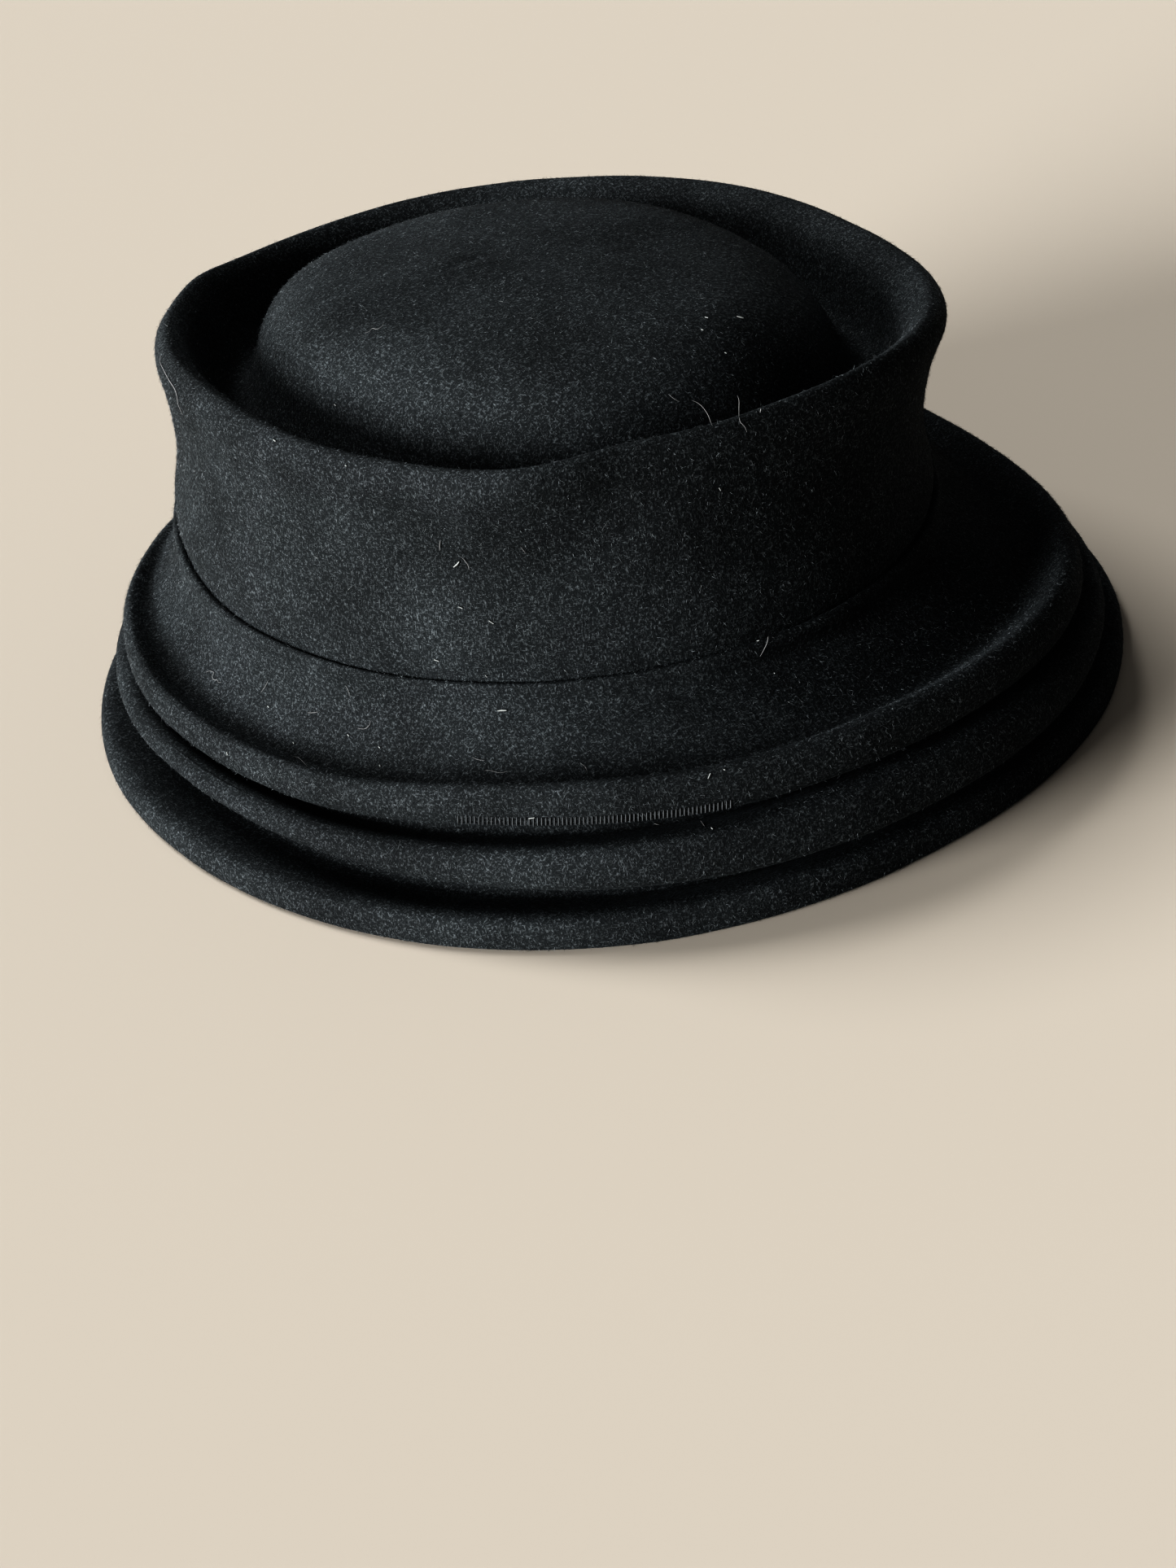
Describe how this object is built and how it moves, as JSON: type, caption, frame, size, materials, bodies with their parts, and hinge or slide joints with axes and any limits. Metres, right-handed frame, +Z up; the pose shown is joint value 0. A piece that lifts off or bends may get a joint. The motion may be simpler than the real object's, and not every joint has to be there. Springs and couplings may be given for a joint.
{
  "type": "pork pie hat",
  "caption": "Black felt pork pie hat with a waisted crown, a rolled rim round a domed top, and a sloping brim pleated into tiers.",
  "frame": {"origin": "on the floor that the hem rests on, under the middle of the whole hat", "axes": "+Z up, -Y towards the front of the hat, +X towards the wearer's left"},
  "size_m": [0.2426, 0.2544, 0.1051],
  "materials": {
    "crown_felt": "matt napped felt",
    "brim_felt": "matt napped felt"
  },
  "bodies": {
    "root": {"crown": "crown_felt", "brim": "brim_felt"}
  },
  "joints": []
}
